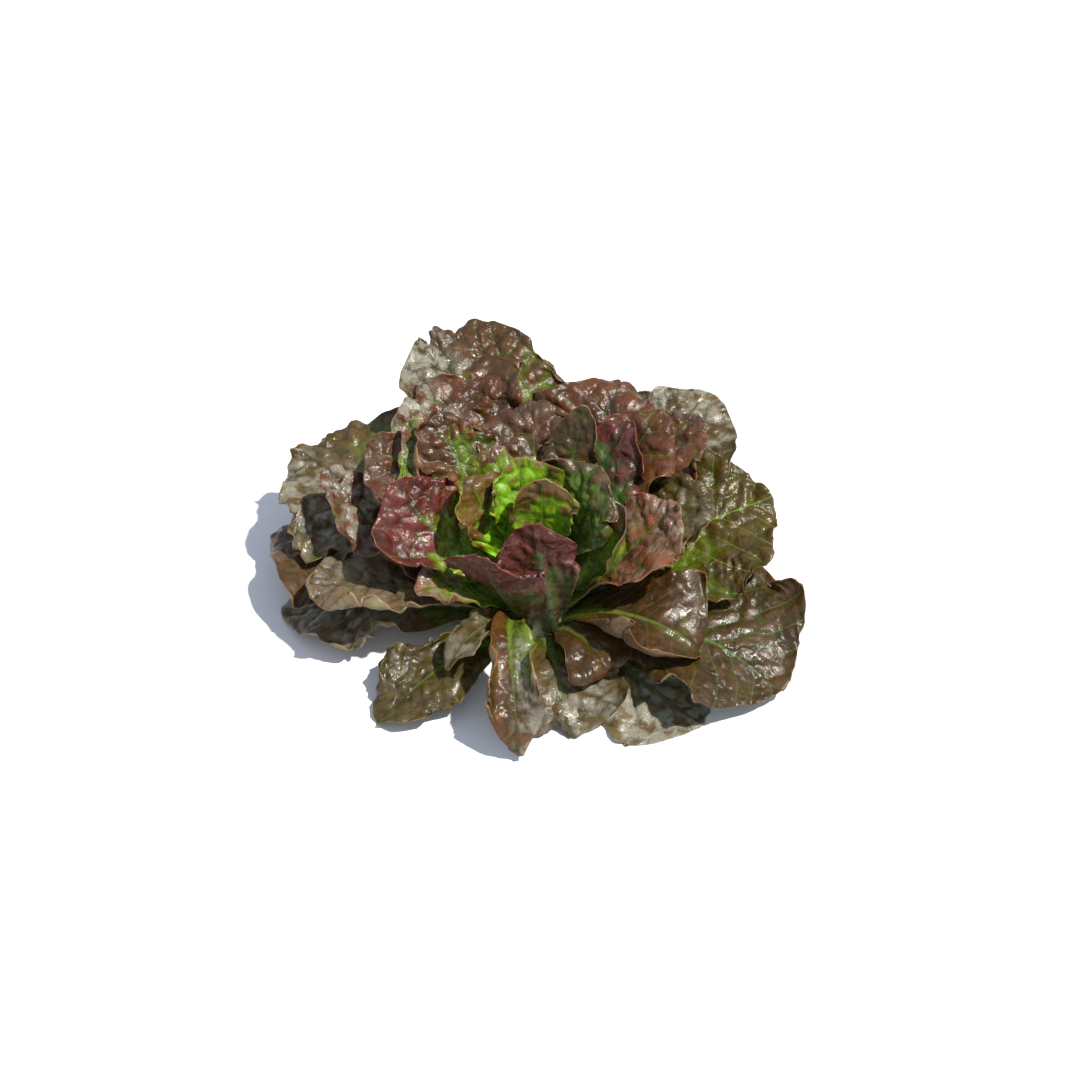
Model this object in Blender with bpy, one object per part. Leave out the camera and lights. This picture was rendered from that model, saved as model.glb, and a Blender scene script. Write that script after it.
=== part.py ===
"""A head of mignonette lettuce: an open rosette of broad bronze leaves on a short cut stem.

Metres, +Z up. The origin is the middle of the stem's cut face, which the head stands on.
Azimuths are degrees seen from above: 0 is +X, 90 is +Y. The leaves are listed from the outermost
to the innermost, which is also the order in which they grow up the stem.
"""

import math
from dataclasses import dataclass

import bpy
import numpy as np
from mathutils import Vector
from mathutils.bvhtree import BVHTree

# Stem
STEM_PROFILE = (
    (0.0105, 0.0),
    (0.0125, 0.002),
    (0.0130, 0.010),
    (0.0125, 0.020),
    (0.0105, 0.029),
    (0.0070, 0.037),
    (0.0025, 0.043),
)
STEM_SIDES = 20
STEM_GAP = 0.0004

# Leaf roots: each sits on the stem above the roots that it overlaps
ROOT_LOWEST = 0.0045
ROOT_PITCH = 0.0031
ROOT_HALF_WIDTH = 0.004
ROOT_MARGIN = 0.0006

# Leaf blade
BLADE_THICKNESS = 0.0008
RIB_THICKNESS = 0.0015
RIB_HALF_WIDTH = 0.003
WIDEST_AT = 0.68
TIP_WIDTH_SHARE = 0.60
TIP_ROUNDING = 0.24
ROLL_STARTS = 0.45
SCALLOPS = 3.4
SCALLOP_DEPTH = 0.06

# Leaf grid: rows run from root to tip, columns from margin to margin
ROWS = 10
COLUMNS = 8

# How leaves are bent clear of each other and of the surface below
LEAF_GAP = 0.0022
REACH = 0.016
LARGEST_STEP = 0.0012
ROUNDS = 150
FINE_FROM_ROUND = 100
EVENING = 0.18
ROUNDS_BETWEEN_SEARCHES = 8
FLOOR = 0.0005
ANCHORED_ROWS = 3


@dataclass
class Leaf:
    """One leaf. Pairs give the value at the root and at the tip, and angles are in degrees.

    tip is where the midrib ends. rise is its slope and swing how far it turns aside, to the left.
    reach is how straight it leaves and arrives, as a share of its length. twist lifts the left half,
    and cup turns both halves up. roll bends the left and the right margin further up. ruffle is the
    height of the margin's waves.
    """

    name: str
    tip: tuple
    width: float
    rise: tuple
    swing: tuple = (0.0, 0.0)
    reach: tuple = (0.36, 0.36)
    twist: tuple = (0.0, 0.0)
    cup: tuple = (22.0, 8.0)
    roll: tuple = (0.0, 0.0)
    ruffle: float = 0.004
    waves: float = 2.5
    phase: float = 0.0


LEAVES = (
    Leaf("outer_leaf_01", (0.078, -0.066, 0.0), 0.074, (12, -10), ruffle=0.0025, phase=0.3),
    Leaf("outer_leaf_02", (-0.129, 0.008, 0.001), 0.066, (18, -16), cup=(22, 16), phase=1.1),
    Leaf("outer_leaf_03", (0.052, 0.108, 0.0), 0.090, (18, -16), ruffle=0.006, phase=2.0),
    Leaf("outer_leaf_04", (-0.078, -0.066, 0.001), 0.044, (26, -30), cup=(22, 16), ruffle=0.004,
         waves=3, phase=0.6),
    Leaf("outer_leaf_05", (0.122, 0.010, 0.008), 0.070, (20, -14), ruffle=0.005, phase=1.9),
    Leaf("outer_leaf_06", (-0.092, 0.098, 0.0), 0.088, (22, -16), ruffle=0.006, phase=0.2),
    Leaf("outer_leaf_07", (0.014, -0.077, 0.0), 0.066, (40, -46), roll=(30, 0), ruffle=0.005,
         phase=1.4),
    Leaf("outer_leaf_08", (-0.138, 0.042, 0.022), 0.084, (26, -10), ruffle=0.0063, waves=3, phase=2.6),
    Leaf("outer_leaf_09", (-0.014, 0.124, 0.026), 0.094, (28, -8), ruffle=0.0063, phase=1.2),
    Leaf("outer_leaf_10", (0.085, 0.104, 0.066), 0.074, (36, 8), ruffle=0.005, phase=0.9),
    Leaf("outer_leaf_11", (0.116, -0.052, 0.006), 0.090, (32, -26), swing=(12, -20), cup=(26, 30),
         phase=2.2),
    Leaf("outer_leaf_12", (-0.126, 0.084, 0.043), 0.104, (30, 4), twist=(0, -8), ruffle=0.005,
         phase=0.1),
    Leaf("outer_leaf_13", (-0.034, 0.138, 0.083), 0.080, (40, 14), ruffle=0.005, phase=1.7),
    Leaf("outer_leaf_14", (-0.044, -0.048, 0.020), 0.022, (60, -60), reach=(0.5, 0.5), cup=(22, 16),
         phase=1.9),
    Leaf("outer_leaf_15", (-0.010, -0.088, 0.003), 0.030, (70, -76), swing=(-34, 16),
         reach=(0.55, 0.55), cup=(22, 36), roll=(30, 50), ruffle=0.003, phase=0.5),
    Leaf("outer_leaf_16", (0.118, 0.046, 0.042), 0.096, (32, 4), twist=(0, 8), cup=(22, 4),
         ruffle=0.005, phase=2.9),
    Leaf("outer_leaf_17", (0.036, -0.053, 0.013), 0.036, (54, -56), roll=(0, 30), phase=0.7),
    Leaf("outer_leaf_18", (-0.056, 0.134, 0.084), 0.062, (44, 14), ruffle=0.005, phase=2.4),
    Leaf("middle_leaf_01", (-0.114, -0.008, 0.034), 0.062, (34, -6), cup=(22, 34), roll=(50, 0),
         phase=1.2),
    Leaf("middle_leaf_02", (0.080, 0.078, 0.074), 0.056, (46, 16), phase=0.8),
    Leaf("middle_leaf_03", (0.078, -0.038, 0.018), 0.066, (48, -46), cup=(26, 34), roll=(0, 50),
         phase=1.6),
    Leaf("middle_leaf_04", (-0.105, 0.048, 0.064), 0.046, (26, 44), swing=(30, -22), cup=(22, 34),
         phase=2.1),
    Leaf("middle_leaf_05", (-0.058, 0.092, 0.086), 0.078, (50, 18), ruffle=0.005, phase=1.0),
    Leaf("middle_leaf_06", (0.040, 0.089, 0.089), 0.066, (52, 12), ruffle=0.005, waves=3, phase=2.7),
    Leaf("middle_leaf_07", (0.086, 0.028, 0.064), 0.056, (48, 10), phase=0.0),
    Leaf("middle_leaf_08", (-0.086, 0.058, 0.070), 0.060, (46, 26), phase=1.5),
    Leaf("middle_leaf_09", (0.062, 0.066, 0.086), 0.050, (56, 34), phase=2.3),
    Leaf("middle_leaf_10", (-0.060, -0.020, 0.044), 0.034, (50, -10), phase=2.8),
    Leaf("middle_leaf_11", (-0.068, 0.060, 0.084), 0.046, (58, 40), phase=0.7),
    Leaf("middle_leaf_12", (-0.004, 0.068, 0.092), 0.062, (60, 30), ruffle=0.004, waves=3, phase=1.3),
    Leaf("middle_leaf_13", (0.066, 0.012, 0.074), 0.050, (52, 44), swing=(-20, 20), phase=0.2),
    Leaf("middle_leaf_14", (-0.055, 0.058, 0.092), 0.050, (60, 40), ruffle=0.005, phase=1.8),
    Leaf("middle_leaf_15", (0.043, 0.056, 0.090), 0.046, (64, 46), phase=0.6),
    Leaf("middle_leaf_16", (0.022, 0.060, 0.094), 0.030, (68, 56), phase=0.9),
    Leaf("middle_leaf_17", (-0.069, 0.022, 0.081), 0.056, (36, 52), swing=(8, -40), ruffle=0.005,
         phase=2.0),
    Leaf("heart_leaf_01", (-0.031, 0.016, 0.086), 0.046, (74, 64), cup=(24, 34), ruffle=0.004,
         phase=1.6),
    Leaf("heart_leaf_02", (-0.027, -0.023, 0.071), 0.058, (60, 82), swing=(20, 36), cup=(24, 26),
         phase=2.5),
    Leaf("heart_leaf_03", (-0.003, -0.007, 0.078), 0.040, (68, 88), swing=(43, 20), cup=(24, 26),
         ruffle=0.0013, phase=0.5),
    Leaf("heart_leaf_04", (0.033, 0.004, 0.079), 0.046, (66, 80), twist=(20, 45), cup=(24, 30),
         ruffle=0.0013, phase=1.1),
    Leaf("heart_leaf_05", (0.027, 0.026, 0.088), 0.054, (72, 50), cup=(24, 24), phase=2.2),
    Leaf("heart_leaf_06", (-0.010, 0.030, 0.088), 0.050, (74, 60), cup=(24, 20), ruffle=0.0015,
         waves=3, phase=0.3),
    Leaf("heart_leaf_07", (0.001, 0.014, 0.087), 0.040, (80, 76), cup=(24, 45), ruffle=0.0013,
         phase=1.3),
)


def smoothstep(low, high, x):
    t = np.clip((x - low) / (high - low), 0.0, 1.0)
    return t * t * (3.0 - 2.0 * t)


def stem_place(climbed):
    """Radius and height of the point that lies a given way up the stem's flank."""
    radii, heights = np.array(STEM_PROFILE).T
    lengths = np.concatenate([[0.0], np.cumsum(np.hypot(np.diff(radii), np.diff(heights)))])
    return float(np.interp(climbed, lengths, radii)), float(np.interp(climbed, lengths, heights))


def root_heading(leaf):
    return math.degrees(math.atan2(leaf.tip[1], leaf.tip[0])) + leaf.swing[0]


def stack_roots():
    """How far up the stem each leaf's root sits, so that no two roots meet."""
    climbs = []
    for k, leaf in enumerate(LEAVES):
        climb = ROOT_LOWEST
        for other, below in zip(LEAVES[:k], climbs):
            apart = abs((root_heading(leaf) - root_heading(other) + 180.0) % 360.0 - 180.0)
            radius, _ = stem_place(below + ROOT_PITCH)
            if apart < 2 * math.degrees(math.atan2(ROOT_HALF_WIDTH + ROOT_MARGIN, radius)):
                climb = max(climb, below + ROOT_PITCH)
        climbs.append(climb)
    return climbs


def half_width(leaf, along):
    """Half the blade's width at each share of its length."""
    growing = np.sin(0.5 * np.pi * np.clip(along / WIDEST_AT, 0.0, 1.0) ** 1.6)
    before = ROOT_HALF_WIDTH + (leaf.width / 2 - ROOT_HALF_WIDTH) * growing
    past = np.clip((along - WIDEST_AT) / (1.0 - WIDEST_AT), 0.0, 1.0)
    return before * (1.0 - (1.0 - TIP_WIDTH_SHARE) * past**2)


def scallop(leaf, along, across):
    """How far each margin swings in and out, as a share of the half-width."""
    turn = 2 * np.pi * (SCALLOPS * along + leaf.phase) + np.where(across > 0, 0.0, 1.7)
    return 1.0 + SCALLOP_DEPTH * np.sin(turn) * across**2 * smoothstep(0.3, 0.6, along)


def leaf_grid_shares(rows, columns):
    """The share of the length and of the half-width at each grid point. The tip row curves back."""
    u, v = np.meshgrid(np.linspace(0.0, 1.0, rows + 1), np.linspace(-1.0, 1.0, columns + 1), indexing="ij")
    along = u - TIP_ROUNDING * u**2 * np.abs(v) ** 2.2
    return along, v


def direction(slope, heading):
    slope, heading = math.radians(slope), math.radians(heading)
    return np.array([
        math.cos(slope) * math.cos(heading),
        math.cos(slope) * math.sin(heading),
        math.sin(slope),
    ])


def midrib(leaf, climb):
    """Points, directions and side vectors at even shares of the midrib, a curve from root to tip."""
    heading = math.degrees(math.atan2(leaf.tip[1], leaf.tip[0]))
    radius, height = stem_place(climb)
    out = radius + STEM_GAP + 0.5 * RIB_THICKNESS
    start = math.radians(root_heading(leaf))
    root = np.array([out * math.cos(start), out * math.sin(start), height])
    tip = np.array(leaf.tip)
    span = np.linalg.norm(tip - root)
    leaving = root + leaf.reach[0] * span * direction(leaf.rise[0], heading + leaf.swing[0])
    arriving = tip - leaf.reach[1] * span * direction(leaf.rise[1], heading + leaf.swing[1])
    t = np.linspace(0.0, 1.0, 201)[:, None]
    curve = (1 - t) ** 3 * root + 3 * (1 - t) ** 2 * t * leaving
    curve += 3 * (1 - t) * t**2 * arriving + t**3 * tip
    lengths = np.concatenate([[0.0], np.cumsum(np.linalg.norm(np.diff(curve, axis=0), axis=1))])
    share = np.linspace(0.0, 1.0, 81)
    points = np.stack([np.interp(share * lengths[-1], lengths, curve[:, k]) for k in range(3)], axis=1)
    ahead = np.gradient(points, axis=0)
    ahead /= np.linalg.norm(ahead, axis=1, keepdims=True)
    sideways = np.radians(heading + leaf.swing[0] + (leaf.swing[1] - leaf.swing[0]) * share)
    side = np.stack([-np.sin(sideways), np.cos(sideways), np.zeros_like(sideways)], axis=1)
    side -= (side * ahead).sum(axis=1, keepdims=True) * ahead
    side /= np.linalg.norm(side, axis=1, keepdims=True)
    turn = np.radians(np.interp(share, (0.0, 1.0), leaf.twist)) * smoothstep(0.0, 0.3, share)
    turn = turn[:, None]
    side = np.cos(turn) * side + np.sin(turn) * np.cross(ahead, side)
    return share, points, ahead, side


def cross_section(leaf, along, across):
    """How far each point lies to the side of the midrib and above it, as shares of the half-width."""
    table = np.linspace(0.0, 1.0, 25)
    spread = np.zeros_like(across)
    lift = np.zeros_like(across)
    cup = leaf.cup[0] + (leaf.cup[1] - leaf.cup[0]) * along
    for sign, roll in ((1.0, leaf.roll[0]), (-1.0, leaf.roll[1])):
        here = across * sign > 0
        strength = roll * smoothstep(0.2, 0.55, along[here])
        turn = np.radians(
            cup[here][:, None] * table + strength[:, None] * smoothstep(ROLL_STARTS, 1.0, table)
        )
        step = 1.0 / (len(table) - 1)
        sideways = np.cumsum(np.cos(turn), axis=1) * step - 0.5 * step * (np.cos(turn) + 1.0)
        upward = np.cumsum(np.sin(turn), axis=1) * step - 0.5 * step * np.sin(turn)
        place = np.abs(across[here]) * (len(table) - 1)
        low = np.minimum(place.astype(int), len(table) - 2)
        part = place - low
        pick = np.arange(len(low))
        spread[here] = sign * (sideways[pick, low] * (1 - part) + sideways[pick, low + 1] * part)
        lift[here] = upward[pick, low] * (1 - part) + upward[pick, low + 1] * part
    return spread, lift


def drawn_leaf(leaf, climb, along, across):
    """The blade's middle surface as drawn, before leaves are bent clear of each other."""
    share, points, ahead, side = midrib(leaf, climb)

    def at(values):
        return np.stack([np.interp(along, share, values[:, k]) for k in range(3)], axis=-1)

    ahead_here, side_here = at(ahead), at(side)
    up_here = np.cross(ahead_here, side_here)
    half = half_width(leaf, along) * scallop(leaf, along, across)
    spread, lift = cross_section(leaf, along.ravel(), across.ravel())
    spread, lift = spread.reshape(along.shape) * half, lift.reshape(along.shape) * half
    side_phase = np.where(across > 0, 0.0, 2.1)
    wave = np.sin(2 * np.pi * (leaf.waves * along + leaf.phase) + side_phase)
    lift = lift + leaf.ruffle * wave * across**2 * smoothstep(0.25, 0.7, along)
    return at(points) + spread[..., None] * side_here + lift[..., None] * up_here


def grid_faces(rows, columns):
    """Triangles of a grid, counter-clockwise seen from above. Its two halves mirror each other."""
    faces = []
    for i in range(rows):
        for j in range(columns):
            a = i * (columns + 1) + j
            b, c, d = a + columns + 1, a + columns + 2, a + 1
            faces += [(a, b, d), (b, c, d)] if j < columns // 2 else [(a, b, c), (a, c, d)]
    return faces


def grid_normals(grid):
    along = np.gradient(grid, axis=0)
    across = np.gradient(grid, axis=1)
    normals = np.cross(along, across)
    return normals / np.linalg.norm(normals, axis=2, keepdims=True)


def smoothed(field):
    """A vector field on a grid, averaged with its neighbours."""
    for axis in (0, 1):
        ahead = np.roll(field, -1, axis)
        behind = np.roll(field, 1, axis)
        last = [slice(None)] * 3
        first = [slice(None)] * 3
        last[axis], first[axis] = -1, 0
        ahead[tuple(last)] = field[tuple(last)]
        behind[tuple(first)] = field[tuple(first)]
        field = 0.25 * ahead + 0.5 * field + 0.25 * behind
    return field


def halfway(grid):
    """A grid with a point added in the middle of each edge and of each cell's diagonal."""
    rows, columns = grid.shape[:2]
    fine = np.zeros((2 * rows - 1, 2 * columns - 1, 3))
    fine[::2, ::2] = grid
    fine[1::2, ::2] = 0.5 * (grid[1:] + grid[:-1])
    fine[::2, 1::2] = 0.5 * (grid[:, 1:] + grid[:, :-1])
    middle = (columns - 1) // 2
    fine[1::2, 1:2 * middle:2] = 0.5 * (grid[1:, :middle] + grid[:-1, 1:middle + 1])
    fine[1::2, 2 * middle + 1::2] = 0.5 * (grid[1:, middle + 1:] + grid[:-1, middle:-1])
    return fine


def gathered(moves):
    """The moves of a grid from those of its halfway points."""
    wide = np.pad(moves, ((1, 1), (1, 1), (0, 0)))
    rows, columns = moves.shape[:2]
    total = np.zeros_like(moves[::2, ::2])
    for i in range(3):
        for j in range(3):
            share = 1.0 if (i, j) == (1, 1) else 0.6
            total += share * wide[i:i + rows:2, j:j + columns:2]
    return total


def near_misses(grid, normals, tree, box, outward):
    """Moves that bring a grid's points to their side of another leaf, and how many points need one."""
    moves = np.zeros_like(grid)
    found = 0
    close = ((grid > box[0] - REACH) & (grid < box[1] + REACH)).all(axis=2)
    close[0] = False
    sign = 1.0 if outward else -1.0
    for row, column in zip(*np.nonzero(close)):
        point = Vector(grid[row, column])
        place, normal, _, distance = tree.find_nearest(point, REACH)
        if place is None:
            continue
        offset = point - place
        facing = abs(offset.dot(normal)) > 0.85 * distance
        direction = normal if outward else Vector(normals[row, column])
        missing = LEAF_GAP - (sign * offset.dot(direction) if facing else distance)
        if missing > 0:
            found += 1
            moves[row, column] = sign * min(missing, LARGEST_STEP) * np.array(direction)
    return moves, found


def bend_clear(grids):
    """Bends the leaves until each lies above those outside it, with a gap, and above the floor."""
    faces = grid_faces(ROWS, COLUMNS)
    free = smoothstep(0.0, ANCHORED_ROWS, np.arange(ROWS + 1))[:, None, None]
    drawn = [g.copy() for g in grids]
    everyone = [(inner, outer) for inner in range(len(grids)) for outer in range(inner)]
    busy = everyone
    for turn in range(ROUNDS):
        fine = turn >= FINE_FROM_ROUND
        trees = [BVHTree.FromPolygons([tuple(p) for p in g.reshape(-1, 3)], faces) for g in grids]
        samples = [halfway(g) if fine else g for g in grids]
        normals = [grid_normals(g) for g in samples]
        boxes = [(g.min(axis=(0, 1)), g.max(axis=(0, 1))) for g in grids]
        moves = [np.zeros_like(g) for g in samples]
        pairs = everyone if turn % ROUNDS_BETWEEN_SEARCHES == 0 else busy
        busy = []
        for inner, outer in pairs:
            up, n_up = near_misses(samples[inner], normals[inner], trees[outer], boxes[outer], True)
            down, n_down = near_misses(samples[outer], normals[outer], trees[inner], boxes[inner], False)
            moves[inner] += 0.5 * up
            moves[outer] += 0.5 * down
            if n_up + n_down:
                busy.append((inner, outer))
        for k, move in enumerate(moves):
            move = gathered(move) if fine else move
            size = np.linalg.norm(move, axis=2, keepdims=True)
            move = move * np.minimum(1.0, LARGEST_STEP / np.maximum(size, 1e-9))
            bent = grids[k] + free * (0.35 * move + 0.65 * smoothed(smoothed(move))) - drawn[k]
            grids[k] = drawn[k] + (1.0 - EVENING) * bent + EVENING * free * smoothed(bent)
            grids[k][..., 2] = np.maximum(grids[k][..., 2], FLOOR)
        if not busy and pairs is everyone:
            break
    return grids


def thickness(along, across, leaf):
    """The blade's thickness: a thin sheet with a rib that fades towards the tip."""
    rib = np.exp(-((across * half_width(leaf, along) / RIB_HALF_WIDTH) ** 2)) * (1.0 - along) ** 1.2
    return BLADE_THICKNESS + (RIB_THICKNESS - BLADE_THICKNESS) * rib


def leaf_solid(name, grid, thick):
    """A closed solid from the blade's middle surface. Both faces are split the same way."""
    normals = grid_normals(grid)
    offset = 0.5 * thick[..., None] * normals
    top = (grid + offset).reshape(-1, 3)
    bottom = (grid - offset).reshape(-1, 3)
    count = len(top)
    faces = grid_faces(ROWS, COLUMNS)
    solid = list(faces) + [(count + a, count + c, count + b) for a, b, c in faces]
    width = COLUMNS + 1
    rim = list(range(width))
    rim += [i * width + COLUMNS for i in range(1, ROWS + 1)]
    rim += [ROWS * width + j for j in range(COLUMNS - 1, -1, -1)]
    rim += [i * width for i in range(ROWS - 1, 0, -1)]
    for a, b in zip(rim, rim[1:] + rim[:1]):
        solid += [(a, b, count + b), (a, count + b, count + a)]
    mesh = bpy.data.meshes.new(name)
    mesh.from_pydata(np.concatenate([top, bottom]).tolist(), [], solid)
    mesh.validate()
    return mesh


def plain_material(name, colour, roughness):
    material = bpy.data.materials.new(name)
    material.use_nodes = True
    shader = material.node_tree.nodes["Principled BSDF"]
    shader.inputs["Base Color"].default_value = (*colour, 1.0)
    shader.inputs["Roughness"].default_value = roughness
    shader.inputs["Metallic"].default_value = 0.0
    return material


def add_object(name, mesh, material):
    obj = bpy.data.objects.new(name, mesh)
    obj.data.materials.append(material)
    bpy.context.scene.collection.objects.link(obj)
    return obj


def build_stem(material):
    """The short stem, turned about Z, with its cut face at the origin."""
    angles = [2 * math.pi * k / STEM_SIDES for k in range(STEM_SIDES)]
    points = [(r * math.cos(a), r * math.sin(a), z) for r, z in STEM_PROFILE for a in angles]
    faces = [tuple(range(STEM_SIDES - 1, -1, -1))]
    for ring in range(len(STEM_PROFILE) - 1):
        start = ring * STEM_SIDES
        for k in range(STEM_SIDES):
            n = (k + 1) % STEM_SIDES
            faces.append((start + k, start + n, start + STEM_SIDES + n, start + STEM_SIDES + k))
    top = (len(STEM_PROFILE) - 1) * STEM_SIDES
    faces.append(tuple(range(top, top + STEM_SIDES)))
    mesh = bpy.data.meshes.new("stem")
    mesh.from_pydata(points, [], faces)
    return add_object("stem", mesh, material)


def build_head():
    for obj in list(bpy.data.objects):
        bpy.data.objects.remove(obj)
    build_stem(plain_material("stem_green", (0.52, 0.60, 0.30), 0.5))
    materials = {
        "outer": plain_material("outer_bronze", (0.11, 0.07, 0.035), 0.4),
        "middle": plain_material("middle_red", (0.20, 0.06, 0.045), 0.4),
        "heart": plain_material("heart_green", (0.25, 0.38, 0.06), 0.4),
    }
    along, across = leaf_grid_shares(ROWS, COLUMNS)
    drawn = [drawn_leaf(leaf, climb, along, across) for leaf, climb in zip(LEAVES, stack_roots())]
    for grid in drawn:
        grid[..., 2] = np.maximum(grid[..., 2], FLOOR)
    for leaf, grid in zip(LEAVES, bend_clear(drawn)):
        mesh = leaf_solid(leaf.name, grid, thickness(along, across, leaf))
        add_object(leaf.name, mesh, materials[leaf.name.split("_")[0]])


build_head()
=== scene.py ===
"""The looks of a head of mignonette lettuce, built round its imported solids.

Each leaf is drawn and bent clear of the others by the same values and formulas as its solid. It is then
made again on a fine grid with puckers, veins, ruffled margins and a thick midrib, and given its colours.
"""

import math
from dataclasses import dataclass

import bpy
import numpy as np
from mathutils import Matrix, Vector
from mathutils.bvhtree import BVHTree


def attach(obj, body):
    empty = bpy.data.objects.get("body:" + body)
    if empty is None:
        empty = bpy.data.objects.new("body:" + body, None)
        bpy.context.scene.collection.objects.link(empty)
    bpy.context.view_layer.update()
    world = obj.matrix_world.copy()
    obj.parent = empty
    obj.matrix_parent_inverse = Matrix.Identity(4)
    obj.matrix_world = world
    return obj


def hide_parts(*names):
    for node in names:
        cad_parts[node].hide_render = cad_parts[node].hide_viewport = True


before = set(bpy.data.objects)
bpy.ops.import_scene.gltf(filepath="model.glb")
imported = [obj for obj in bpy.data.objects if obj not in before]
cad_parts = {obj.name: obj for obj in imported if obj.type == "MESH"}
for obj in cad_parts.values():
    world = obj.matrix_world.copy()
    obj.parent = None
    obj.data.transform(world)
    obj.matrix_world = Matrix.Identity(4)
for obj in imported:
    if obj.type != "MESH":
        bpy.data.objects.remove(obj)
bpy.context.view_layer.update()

# Stem
STEM_PROFILE = (
    (0.0105, 0.0),
    (0.0125, 0.002),
    (0.0130, 0.010),
    (0.0125, 0.020),
    (0.0105, 0.029),
    (0.0070, 0.037),
    (0.0025, 0.043),
)
STEM_GAP = 0.0004

# Leaf roots: each sits on the stem above the roots that it overlaps
ROOT_LOWEST = 0.0045
ROOT_PITCH = 0.0031
ROOT_HALF_WIDTH = 0.004
ROOT_MARGIN = 0.0006

# Leaf blade
RIB_THICKNESS = 0.0015
WIDEST_AT = 0.68
TIP_WIDTH_SHARE = 0.60
TIP_ROUNDING = 0.24
ROLL_STARTS = 0.45
SCALLOPS = 3.4
SCALLOP_DEPTH = 0.06

# Leaf grid: rows run from root to tip, columns from margin to margin
ROWS = 10
COLUMNS = 8

# How leaves are bent clear of each other and of the surface below
LEAF_GAP = 0.0022
REACH = 0.016
LARGEST_STEP = 0.0012
ROUNDS = 150
FINE_FROM_ROUND = 100
EVENING = 0.18
ROUNDS_BETWEEN_SEARCHES = 8
FLOOR = 0.0005
ANCHORED_ROWS = 3


@dataclass
class Leaf:
    """One leaf. Pairs give the value at the root and at the tip, and angles are in degrees.

    tip is where the midrib ends. rise is its slope and swing how far it turns aside, to the left.
    reach is how straight it leaves and arrives, as a share of its length. twist lifts the left half,
    and cup turns both halves up. roll bends the left and the right margin further up. ruffle is the
    height of the margin's waves.
    """

    name: str
    tip: tuple
    width: float
    rise: tuple
    swing: tuple = (0.0, 0.0)
    reach: tuple = (0.36, 0.36)
    twist: tuple = (0.0, 0.0)
    cup: tuple = (22.0, 8.0)
    roll: tuple = (0.0, 0.0)
    ruffle: float = 0.004
    waves: float = 2.5
    phase: float = 0.0


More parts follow.
